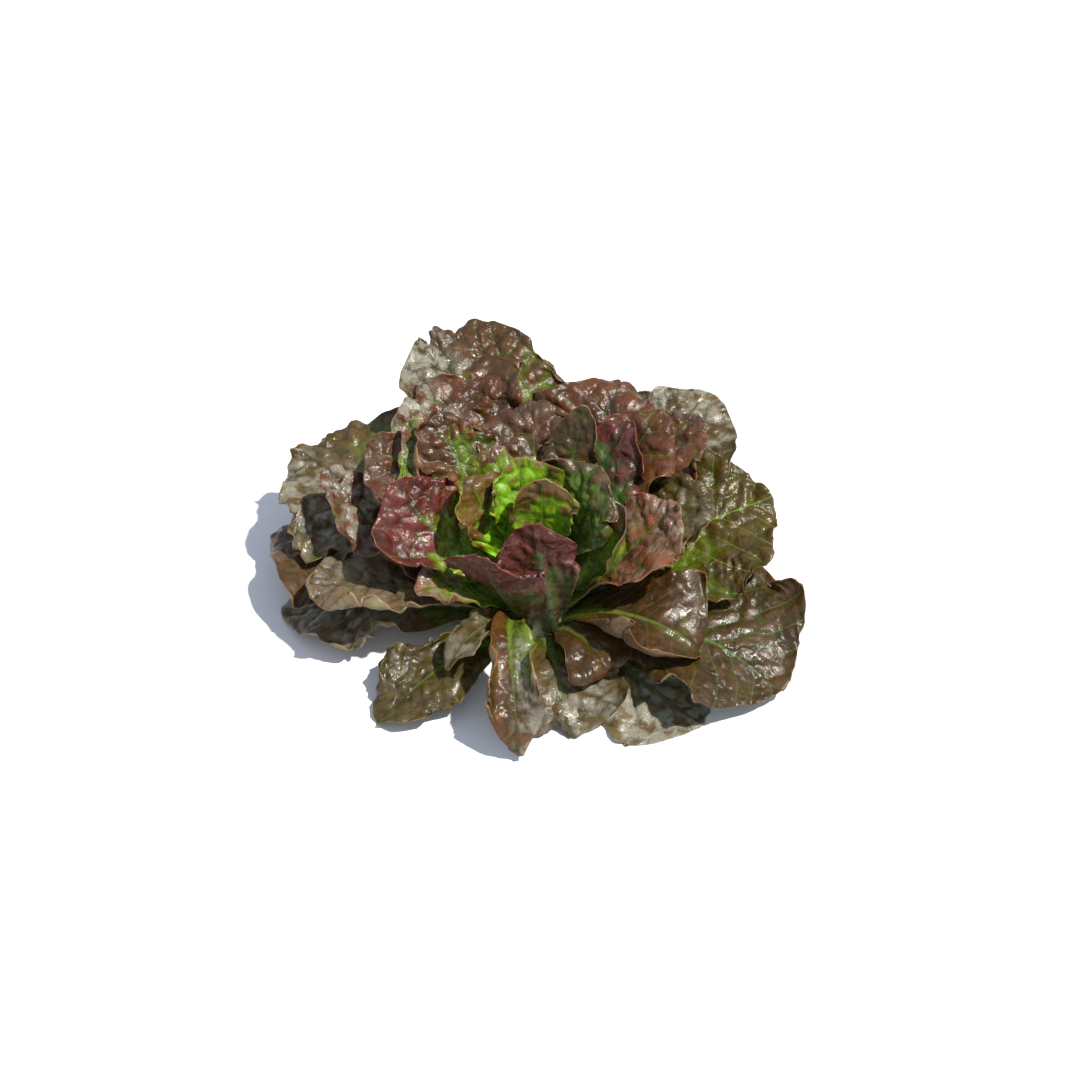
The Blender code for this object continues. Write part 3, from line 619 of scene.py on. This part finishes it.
def nicked(leaf, look, along, across, length, seed):
    """The grid shares, drawn in at the margin here and there."""
    edge = np.abs(across) ** 6
    lobes = np.abs(drift(along * length / NICK_LENGTH + 40 * (across > 0), np.zeros_like(along), seed))
    broad = drift(along * length / (4 * NICK_LENGTH) + 40 * (across > 0), np.ones_like(along), seed)
    pull = NICK_DEPTH * (lobes + 1.2 * np.maximum(broad, 0.0)) * smoothstep(0.35, 0.6, along)
    chance = np.random.RandomState(seed)
    tear = np.zeros_like(along)
    for _ in range(NOTCHES):
        place = chance.uniform(0.45, 0.95)
        depth = chance.uniform(0.05, 0.16)
        opening = chance.uniform(0.012, 0.03)
        side = chance.choice((-1.0, 1.0))
        tear = tear + depth * np.exp(-(((along - place) / opening) ** 2)) * (across * side > 0)
    for place, side, depth, width in look.slits:
        tear = tear + depth * np.exp(-np.abs(along - place) * length / width) * (across * side > 0)
    tip = smoothstep(0.88, 1.0, along)
    tip_lobes = np.abs(drift(across * leaf.width / (2 * NICK_LENGTH), np.full_like(along, 9.0), seed))
    drawn_back = TIP_NICK_DEPTH * tip * tip_lobes
    towards_tip = smoothstep(0.6, 1.0, along)
    for place, depth, width in look.clefts:
        drawn_back = drawn_back + depth * np.exp(-np.abs(across - place) / width) * towards_tip
    return along - drawn_back, across * (1.0 - pull * edge) * (1.0 - tear)


def turned(steps, axes, angles):
    """Vectors turned about axes by angles."""
    cosine, sine = np.cos(angles)[..., None], np.sin(angles)[..., None]
    on_axis = (steps * axes).sum(axis=-1, keepdims=True) * axes
    return steps * cosine + np.cross(axes, steps) * sine + on_axis * (1.0 - cosine)


def rolled_strip(strip, angles):
    """A strip of points whose columns run outwards, bent about its first column by growing angles."""
    axes = np.gradient(strip[:, :1], axis=0)
    axes = axes / np.linalg.norm(axes, axis=-1, keepdims=True)
    steps = np.diff(strip, axis=1)
    share = smoothstep(0.0, 1.0, np.arange(1, steps.shape[1] + 1) / steps.shape[1])
    bent = turned(steps, np.broadcast_to(axes, steps.shape), angles[:, None] * share)
    return np.concatenate([strip[:, :1], strip[:, :1] + np.cumsum(bent, axis=1)], axis=1)


def curled(surface, leaf, look, length, seed):
    """The blade with its tip and both margins rolled and fluttering."""
    rows, columns = surface.shape[0] - 1, surface.shape[1] - 1
    surface = surface.copy()

    def angles(curl, shares, reach, salt):
        wave = drift(shares * reach / FLUTTER_LENGTH, np.full_like(shares, salt), seed)
        slow = 0.7 + 0.3 * drift(shares * 3, np.full_like(shares, salt + 9), seed)
        return np.radians(curl * slow + FLUTTER * wave)

    across = np.linspace(0.0, 1.0, columns + 1)
    start = rows - int(ROLL_WIDTH / length * rows)
    tip = surface[start:].transpose(1, 0, 2)
    surface[start:] = rolled_strip(tip, -angles(look.curl[2], across, leaf.width, 3.0)).transpose(1, 0, 2)
    along = np.linspace(0.0, 1.0, rows + 1)
    fade = smoothstep(0.15, 0.45, along)
    count = int(ROLL_WIDTH / leaf.width * columns)
    left = surface[:, columns - count:]
    surface[:, columns - count:] = rolled_strip(left, angles(look.curl[0], along, length, 5.0) * fade)
    right = surface[:, count::-1]
    surface[:, count::-1] = rolled_strip(right, -angles(look.curl[1], along, length, 7.0) * fade)
    return surface


def leaf_length(leaf, climb):
    _, points, _, _ = midrib(leaf, climb)
    return float(np.linalg.norm(np.diff(points, axis=0), axis=1).sum())


def fine_leaf(leaf, look, climb, bend, seed):
    """A leaf's upper and lower surface, the values that colour it, and its points laid out flat."""
    length = leaf_length(leaf, climb)
    rows = int(length / CELL)
    columns = 2 * int(0.5 * leaf.width / CELL)
    share_along, share_across = leaf_grid_shares(rows, columns)
    along, across = nicked(leaf, look, share_along, share_across, length, seed)
    carried = np.einsum("ri,ijk,cj->rck", spread_weights(rows, ROWS), bend, spread_weights(columns, COLUMNS))
    surface = drawn_leaf(leaf, climb, along, across) + carried
    surface = curled(surface, leaf, look, length, seed)
    surface[..., 2] = np.maximum(surface[..., 2], FLOOR)
    normals = grid_normals(surface)

    x = across * half_width(leaf, along)
    y = along * length
    aside = np.abs(x)
    ladder = (y - VEIN_SLANT * aside) / VEIN_SPACING + np.where(x > 0, 0.0, 0.45)
    ladder = ladder + 0.3 * drift(x / VEIN_WANDER_LENGTH, y / VEIN_WANDER_LENGTH, seed + 5)
    between = 0.5 - 0.5 * np.cos(2 * np.pi * ladder)
    rib = np.exp(-((x / (RIB_WIDTH * (1.15 - along))) ** 2))

    pucker = look.pucker
    warp = 0.45 * drift(x / WARP_LENGTH, y / WARP_LENGTH, seed + 7)
    small = cushions(aside / pucker + warp + 50 * (x > 0), ladder * VEIN_SPACING / pucker, seed + 9)
    large = cushions(x / (2.1 * pucker) + warp, y / (2.1 * pucker) - warp, seed + 11)
    tiny = cushions(x / (0.5 * pucker) - warp, y / (0.5 * pucker) + warp, seed + 23)
    dome = 0.12 * tiny + 0.50 * small + 0.38 * large
    room = (1.0 - 0.85 * rib) * smoothstep(0.06, 0.30, along)
    patches = drift(x / PATCH_LENGTH, y / PATCH_LENGTH, seed + 19)
    patchy = 0.4 + 0.6 * smoothstep(-0.45, 0.45, patches)
    fading = patchy * (1.0 - 0.5 * smoothstep(0.8, 1.0, np.abs(across)))
    swell = drift(x / SWELL_LENGTH, y / SWELL_LENGTH, seed + 13) * (0.4 + np.abs(across))
    turns = along * length / FRILL_LENGTH + 0.9 * drift(along * 5, across, seed + 15)
    frill = np.sin(2 * np.pi * turns + 2.0 * (x > 0)) * np.abs(across) ** 3
    frill = frill * (0.5 + 0.5 * drift(along * 4, across, seed + 17) ** 2)
    lift = look.height * (dome - 0.5) * room * fading
    lift += 0.3 * look.height * (between - 0.5) * room
    lift += SWELL * swell * room
    lift += look.frill * frill * smoothstep(0.3, 0.6, along)
    surface = surface + lift[..., None] * normals
    normals = grid_normals(surface)

    edge = smoothstep(1.0 - MARGIN_WIDTH / (0.5 * leaf.width), 1.0, np.abs(share_across))
    row_shares = np.broadcast_to(np.linspace(0.0, 1.0, rows + 1)[:, None], along.shape)
    edge = np.maximum(edge, smoothstep(1.0 - MARGIN_WIDTH / length, 1.0, row_shares))
    thick = BLADE_THICKNESS + (MARGIN_THICKNESS - BLADE_THICKNESS) * edge
    above = 0.5 * thick - RIB_GROOVE * rib * (1.0 - along)
    below = 0.5 * thick + RIB_HEIGHT * rib * (1.0 - along) ** 1.4
    top = surface + above[..., None] * normals
    bottom = surface - below[..., None] * normals
    bottom[..., 2] = np.maximum(bottom[..., 2], 0.5 * FLOOR_CLEARANCE)
    top[..., 2] = np.maximum(top[..., 2], FLOOR_CLEARANCE)

    left = smoothstep(-0.4, 0.4, across)
    begins = look.blush[0] * left + look.blush[1] * (1.0 - left)
    # Share of pale painted sheen on each half, fading towards the root and the margin
    bloom = look.bloom[0] * left + look.bloom[1] * (1.0 - left)
    values = {
        "dome": dome * room,
        "rib": rib * (1.0 - 0.5 * along),
        "ladder": ladder,
        "edge": edge,
        "blush": smoothstep(begins - 0.25, begins + 0.25, along + 0.18 * np.abs(across) ** 2),
        "bloom": bloom * smoothstep(0.3, 0.6, along) * (1.0 - 0.6 * smoothstep(0.6, 0.95, np.abs(across))),
    }
    place = np.stack([x, y, np.full_like(x, seed * 0.013)], axis=-1)
    return top, bottom, values, place


def sheet_mesh(name, top, bottom, values, place):
    """A closed mesh of a blade's two faces and rim, with the values that its material reads."""
    rows, width = top.shape[0] - 1, top.shape[1]
    count = top.shape[0] * width
    index = np.arange(count).reshape(rows + 1, width)
    a, b, c, d = index[:-1, :-1], index[1:, :-1], index[1:, 1:], index[:-1, 1:]
    upper = np.stack([a, b, c, d], axis=-1).reshape(-1, 4)
    lower = np.stack([d, c, b, a], axis=-1).reshape(-1, 4) + count
    rim = np.concatenate([index[0, :], index[1:, -1], index[-1, -2::-1], index[-2:0:-1, 0]])
    ahead = np.roll(rim, -1)
    wall = np.stack([rim, ahead, ahead + count, rim + count], axis=-1)
    faces = np.concatenate([upper, lower, wall])
    mesh = bpy.data.meshes.new(name)
    mesh.vertices.add(2 * count)
    mesh.vertices.foreach_set("co", np.concatenate([top.reshape(-1, 3), bottom.reshape(-1, 3)]).ravel())
    mesh.loops.add(faces.size)
    mesh.loops.foreach_set("vertex_index", faces.ravel())
    mesh.polygons.add(len(faces))
    mesh.polygons.foreach_set("loop_start", np.arange(0, faces.size, 4))
    mesh.update(calc_edges=True)
    mesh.polygons.foreach_set("use_smooth", np.arange(len(faces)) < 2 * len(upper))
    for key, value in {**values, "underside": np.zeros_like(values["edge"])}.items():
        layer = mesh.attributes.new(key, "FLOAT", "POINT")
        lower_value = np.ones_like(value) if key == "underside" else value
        both = np.concatenate([value.ravel(), lower_value.ravel()])
        layer.data.foreach_set("value", both.astype(np.float32))
    layer = mesh.attributes.new("place", "FLOAT_VECTOR", "POINT")
    layer.data.foreach_set("vector", np.concatenate([place.reshape(-1, 3)] * 2).ravel().astype(np.float32))
    mesh.validate()
    return mesh


class Shader:
    """A material with short calls that add nodes and give back their outputs."""

    def __init__(self, name):
        self.material = bpy.data.materials.new(name)
        self.material.use_nodes = True
        self.tree = self.material.node_tree
        self.principled = self.tree.nodes["Principled BSDF"]
        self.output = self.tree.nodes["Material Output"]

    def put(self, socket, value):
        if isinstance(value, bpy.types.NodeSocket):
            self.tree.links.new(value, socket)
        elif isinstance(value, tuple) and len(value) == 3 and socket.type == "RGBA":
            socket.default_value = (*value, 1.0)
        else:
            socket.default_value = value

    def node(self, kind, inputs, output=0, **settings):
        node = self.tree.nodes.new(kind)
        for key, value in settings.items():
            setattr(node, key, value)
        for key, value in inputs.items():
            self.put(node.inputs[key], value)
        return node.outputs[output]

    def attribute(self, name, output="Fac"):
        return self.node("ShaderNodeAttribute", {}, output, attribute_name=name)

    def maths(self, operation, *values):
        return self.node("ShaderNodeMath", dict(enumerate(values)), operation=operation)

    def times(self, a, b):
        return self.maths("MULTIPLY", a, b)

    def mix(self, factor, a, b):
        return self.node("ShaderNodeMix", {0: factor, 6: a, 7: b}, 2, data_type="RGBA")

    def span(self, value, low, high, to_low=0.0, to_high=1.0):
        """value carried smoothly from low..high to to_low..to_high."""
        return self.node("ShaderNodeMapRange", {
            "Value": value, "From Min": low, "From Max": high, "To Min": to_low, "To Max": to_high,
        }, interpolation_type="SMOOTHSTEP")

    def noise(self, place, scale, detail):
        return self.node("ShaderNodeTexNoise", {"Vector": place, "Scale": scale, "Detail": detail})

    def net(self, place, scale):
        """Distance from the lines of a net of small cells."""
        sizes = {"Vector": place, "Scale": scale}
        return self.node("ShaderNodeTexVoronoi", sizes, feature="DISTANCE_TO_EDGE")


# Scales of the leaf's noises and nets
BROAD_SCALE = 50.0
MIDDLING_SCALE = 230.0
FINE_SCALE = 800.0
WANDER_SCALE = 180.0
PAINTED_SHEEN_SCALE = 150.0
BLISTER_SCALE = 175.0
NET_SCALE = 620.0
WANDER = 0.003

# Colours of every leaf
STAIN = (0.03, 0.018, 0.006)
# Painted shade for the creases between blisters
CREASE_SHADE = (0.015, 0.018, 0.003)
# Pale painted sheen
PAINTED_SHEEN = (0.33, 0.315, 0.235)
UPPER_SPECKS = (0.30, 0.22, 0.06)
LOWER_SPECKS = (0.42, 0.34, 0.22)
PALE_RIB = (0.45, 0.46, 0.30)
SUNLIT_GREEN = (0.40, 0.80, 0.02)
SUNLIT_RED = (0.50, 0.16, 0.02)
SPECULAR = 0.55
SHARE_THROUGH = 0.22


def leaf_material(name, look):
    young, blushed, back, rib_colour, margin = PALETTES[look.palette]
    s = Shader(name)
    place = s.attribute("place", "Vector")
    broad = s.noise(place, BROAD_SCALE, 2.0)
    middling = s.noise(place, MIDDLING_SCALE, 3.0)
    fine = s.noise(place, FINE_SCALE, 2.0)
    wander = s.node("ShaderNodeTexNoise", {"Vector": place, "Scale": WANDER_SCALE}, "Color")
    shift = s.node("ShaderNodeVectorMath", {0: wander, "Scale": WANDER}, operation="SCALE")
    warped = s.node("ShaderNodeVectorMath", {0: place, 1: shift}, operation="ADD")
    blisters = s.net(warped, BLISTER_SCALE)
    net = s.net(warped, NET_SCALE)
    dome = s.attribute("dome")
    rib = s.attribute("rib")
    vein = s.span(s.maths("PINGPONG", s.attribute("ladder"), 0.5), 0.0, 0.05, 1.0, 0.0)
    vein = s.times(vein, s.span(broad, 0.35, 0.55, 0.3, 1.0))
    edge = s.attribute("edge")
    under = s.attribute("underside")

    # Redder outwards and on the puckers, greener along the veins
    blush = s.maths("ADD", s.attribute("blush"), s.maths("MULTIPLY_ADD", broad, 1.3, -0.65))
    blush = s.maths("ADD", blush, s.maths("MULTIPLY_ADD", middling, 1.0, -0.5))
    blush = s.maths("ADD", blush, s.maths("MULTIPLY_ADD", dome, 0.9, -0.45))
    blush = s.maths("SUBTRACT", blush, s.times(vein, 0.1 + 0.4 * look.veins))
    blush = s.span(blush, 0.15, 0.85)
    upper = s.mix(blush, young, blushed)
    dark = s.mix(0.7, upper, STAIN)
    upper = s.mix(s.span(broad, 0.42, 0.66, 0.0, 0.75), upper, dark)
    upper = s.mix(s.span(middling, 0.45, 0.75, 0.0, 0.5), upper, dark)
    upper = s.mix(s.span(fine, 0.55, 0.75, 0.0, 0.3), upper, s.mix(0.5, upper, UPPER_SPECKS))
    # Pale patches of painted sheen, strongest on the blister tops
    patches = s.span(s.noise(place, PAINTED_SHEEN_SCALE, 5.0), 0.36, 0.60)
    patches = s.times(patches, s.attribute("bloom"))
    patches = s.times(patches, s.span(dome, 0.05, 0.6, 0.25, 1.0))
    upper = s.mix(patches, upper, PAINTED_SHEEN)
    # Painted highlight: blister tops lifted towards the margin colour
    upper = s.mix(s.span(dome, 0.5, 1.0, 0.0, 0.15), upper, margin)
    upper = s.mix(s.span(net, 0.0, 0.08, 0.5, 0.0), upper, dark)
    upper = s.mix(s.times(vein, 0.3), upper, dark)
    upper = s.mix(s.times(vein, look.veins), upper, s.mix(0.5, young, rib_colour))
    # Painted shade: darker in the creases between the blisters
    upper = s.mix(s.span(dome, 0.05, 0.5, 0.8, 0.0), upper, s.mix(0.8, upper, CREASE_SHADE))
    low = 0.4 - 0.3 * look.veins
    upper = s.mix(s.span(rib, low, low + 0.5, 0.0, 0.4 + 0.5 * look.veins), upper, rib_colour)

    lower = s.mix(s.span(blush, 0.0, 1.0, 0.1, 0.9), s.mix(0.3, young, rib_colour), back)
    lower = s.mix(s.span(broad, 0.35, 0.65, 0.0, 0.75), lower, blushed)
    lower = s.mix(s.span(middling, 0.45, 0.7, 0.0, 0.5), lower, s.mix(0.6, lower, STAIN))
    lower = s.mix(s.span(fine, 0.5, 0.7, 0.0, 0.25), lower, s.mix(0.5, lower, LOWER_SPECKS))
    lower = s.mix(s.times(vein, 0.35), lower, s.mix(0.4, back, rib_colour))
    lower = s.mix(s.span(net, 0.0, 0.06, 0.3, 0.0), lower, s.mix(0.3, back, rib_colour))
    lower = s.mix(s.span(rib, 0.2, 0.8, 0.0, 0.7), lower, s.mix(0.15, rib_colour, PALE_RIB))

    colour = s.mix(under, upper, lower)
    rim = s.times(s.span(edge, 0.6, 1.0, 0.0, 0.75), s.span(middling, 0.35, 0.6, 0.3, 1.0))
    colour = s.mix(rim, colour, margin)

    relief = s.times(s.span(blisters, 0.0, 0.4), s.span(broad, 0.35, 0.6, 0.15, 0.7))
    relief = s.maths("ADD", relief, s.times(middling, 0.16))
    relief = s.maths("ADD", relief, s.times(s.span(net, 0.0, 0.2), 0.05))
    bump = s.node("ShaderNodeBump", {
        "Height": relief, "Strength": 0.8, "Distance": min(0.0011, 0.0005 * look.height / 0.001),
    })
    shine = s.span(middling, 0.3, 0.7, 0.27, 0.43)
    roughness = s.maths("ADD", shine, s.times(under, 0.14))

    shader = s.principled.inputs
    s.put(shader["Base Color"], colour)
    s.put(shader["Roughness"], roughness)
    s.put(shader["Normal"], bump)
    shader["Specular IOR Level"].default_value = SPECULAR
    sunlit = s.mix(blush, s.mix(0.6, young, SUNLIT_GREEN), s.mix(0.6, blushed, SUNLIT_RED))
    glow = s.node("ShaderNodeBsdfTranslucent", {"Color": sunlit, "Normal": bump})
    mixed = s.node("ShaderNodeMixShader", {0: SHARE_THROUGH, 1: s.principled.outputs[0], 2: glow})
    s.put(s.output.inputs["Surface"], mixed)
    return s.material


def add_piece(name, mesh, material):
    piece = bpy.data.objects.new(name, mesh)
    bpy.context.scene.collection.objects.link(piece)
    mesh.materials.append(material)
    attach(piece, "root")
    return piece


def add_leaves():
    climbs = stack_roots()
    along, across = leaf_grid_shares(ROWS, COLUMNS)
    drawn = [drawn_leaf(leaf, climb, along, across) for leaf, climb in zip(LEAVES, climbs)]
    floored = [grid.copy() for grid in drawn]
    for grid in floored:
        grid[..., 2] = np.maximum(grid[..., 2], FLOOR)
    cleared = bend_clear(floored)
    for k, (leaf, climb) in enumerate(zip(LEAVES, climbs)):
        look = LOOKS[leaf.name]
        top, bottom, values, place = fine_leaf(leaf, look, climb, cleared[k] - drawn[k], 31 * k + 7)
        mesh = sheet_mesh(leaf.name + "_blade", top, bottom, values, place)
        piece = add_piece(leaf.name + "_blade", mesh, leaf_material(leaf.name + "_skin", look))
        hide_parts(leaf.name)


# Stem skin
STEM_GREEN = (0.40, 0.46, 0.20)
STEM_PALE = (0.62, 0.64, 0.42)
STEM_CUT = (0.34, 0.20, 0.09)
# Painted shade for the top of the stem, under the leaves
STEM_TOP_SHADE = (0.12, 0.18, 0.04)
STEM_PATCH = (0.30, 0.26, 0.12)
STREAKS_PER_METRE = (420.0, 420.0, 60.0)
STEM_PATCH_SCALE = 160.0


def stem_material():
    s = Shader("stem_skin")
    place = s.node("ShaderNodeTexCoord", {}, "Object")
    stretched = s.node("ShaderNodeVectorMath", {0: place, 1: STREAKS_PER_METRE}, operation="MULTIPLY")
    streaks = s.noise(stretched, 1.0, 3.0)
    patches = s.noise(place, STEM_PATCH_SCALE, 2.0)
    colour = s.mix(streaks, STEM_GREEN, STEM_PALE)
    height = s.node("ShaderNodeSeparateXYZ", {0: place}, 2)
    colour = s.mix(s.span(height, 0.0, 0.0025, 0.75, 0.0), colour, STEM_CUT)
    # Painted shade: darker and greener towards the top, where the leaves shade the stem
    colour = s.mix(s.span(height, 0.008, 0.020, 0.0, 0.85), colour, STEM_TOP_SHADE)
    colour = s.mix(s.span(patches, 0.5, 0.75, 0.0, 0.5), colour, STEM_PATCH)
    bump = s.node("ShaderNodeBump", {"Height": streaks, "Strength": 0.5, "Distance": 0.0006})
    s.put(s.principled.inputs["Base Color"], colour)
    s.put(s.principled.inputs["Normal"], bump)
    s.put(s.principled.inputs["Roughness"], s.span(patches, 0.3, 0.7, 0.4, 0.6))
    return s.material


def add_stem():
    """The stem on a finer grid, with shallow furrows and a slightly sunken cut face."""
    sides = 72
    rings = 48
    radii, heights = np.array(STEM_PROFILE).T
    lengths = np.concatenate([[0.0], np.cumsum(np.hypot(np.diff(radii), np.diff(heights)))])
    climbed = np.linspace(0.0, lengths[-1], rings)
    radius = np.interp(climbed, lengths, radii)[:, None]
    height = np.interp(climbed, lengths, heights)[:, None]
    angle = np.linspace(0.0, 2 * np.pi, sides, endpoint=False)[None, :]
    furrow = 1.0 - 0.03 * np.abs(np.sin(6 * angle + 14 * height / 0.04)) * smoothstep(0.001, 0.004, height)
    outward = radius * furrow
    flank = np.stack([outward * np.cos(angle), outward * np.sin(angle), height + 0 * angle], axis=-1)
    points = list(map(tuple, flank.reshape(-1, 3)))
    faces = []

    def add_band(first, second):
        for k in range(sides):
            n = (k + 1) % sides
            faces.append((first + k, first + n, second + n, second + k))

    for ring in range(rings - 1):
        add_band(ring * sides, (ring + 1) * sides)
    for share, depth in ((0.85, 0.0), (0.6, 0.0003), (0.25, 0.0005)):
        start = len(points)
        inner = radii[0] * share
        points += [(inner * math.cos(a), inner * math.sin(a), depth) for a in angle[0]]
        add_band(start, 0 if start == rings * sides else start - sides)
    faces.append(tuple(range(len(points) - 1, len(points) - 1 - sides, -1)))
    top = (rings - 1) * sides
    faces.append(tuple(range(top, top + sides)))
    mesh = bpy.data.meshes.new("stem_core")
    mesh.from_pydata(points, [], faces)
    mesh.polygons.foreach_set("use_smooth", np.arange(len(faces)) < (rings - 1) * sides)
    piece = add_piece("stem_core", mesh, stem_material())
    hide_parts("stem")


# Light, floor and camera
SUN_TOWARDS = (0.45, -0.15, 0.88)
SUN_STRENGTH = 4.6
SUN_ANGLE = 0.03
SUN_COLOUR = (1.0, 0.97, 0.92)
SKY = (0.44, 0.50, 0.61)
FLOOR_COLOUR = (0.90, 0.90, 0.90)
FLOOR_REACH = 4.0
CAMERA_ELEVATION = 45.0
CAMERA_TARGET = (0.0, 0.020, 0.040)
CAMERA_DISTANCE = 1.2
PIXELS_PER_METRE = 2037.0
PICTURE_WIDTH = 1080.0
SENSOR = 36.0


def add_floor():
    mesh = bpy.data.meshes.new("floor")
    corners = [(x * FLOOR_REACH, y * FLOOR_REACH, 0) for x, y in ((-1, -1), (1, -1), (1, 1), (-1, 1))]
    mesh.from_pydata(corners, [], [(0, 1, 2, 3)])
    floor = bpy.data.objects.new("floor", mesh)
    bpy.context.scene.collection.objects.link(floor)
    s = Shader("floor_white")
    s.put(s.principled.inputs["Base Color"], FLOOR_COLOUR)
    s.put(s.principled.inputs["Roughness"], 0.9)
    mesh.materials.append(s.material)


def add_light():
    lamp = bpy.data.lights.new("sun", "SUN")
    lamp.energy = SUN_STRENGTH
    lamp.angle = SUN_ANGLE
    lamp.color = SUN_COLOUR
    sun = bpy.data.objects.new("sun", lamp)
    sun.rotation_euler = Vector(SUN_TOWARDS).to_track_quat("Z", "Y").to_euler()
    bpy.context.scene.collection.objects.link(sun)
    world = bpy.data.worlds.new("sky")
    bpy.context.scene.world = world
    world.use_nodes = True
    tree = world.node_tree
    background = tree.nodes["Background"]
    backdrop = tree.nodes.new("ShaderNodeBackground")
    backdrop.inputs["Color"].default_value = (1.0, 1.0, 1.0, 1.0)
    background.inputs["Color"].default_value = (*SKY, 1.0)
    path = tree.nodes.new("ShaderNodeLightPath")
    choose = tree.nodes.new("ShaderNodeMixShader")
    tree.links.new(path.outputs["Is Camera Ray"], choose.inputs[0])
    tree.links.new(background.outputs[0], choose.inputs[1])
    tree.links.new(backdrop.outputs[0], choose.inputs[2])
    tree.links.new(choose.outputs[0], tree.nodes["World Output"].inputs["Surface"])


def add_camera():
    camera = bpy.data.objects.new("camera", bpy.data.cameras.new("camera"))
    bpy.context.scene.collection.objects.link(camera)
    bpy.context.scene.camera = camera
    slope = math.radians(CAMERA_ELEVATION)
    back = Vector((0.0, -math.cos(slope), math.sin(slope)))
    camera.location = Vector(CAMERA_TARGET) + back * CAMERA_DISTANCE
    camera.rotation_euler = back.to_track_quat("Z", "Y").to_euler()
    camera.data.sensor_width = SENSOR
    camera.data.lens = SENSOR * CAMERA_DISTANCE * PIXELS_PER_METRE / PICTURE_WIDTH
    camera.data.clip_start = 0.05


add_leaves()
add_stem()
add_floor()
add_light()
add_camera()
bpy.context.scene.view_settings.view_transform = "Standard"
bpy.context.view_layer.update()
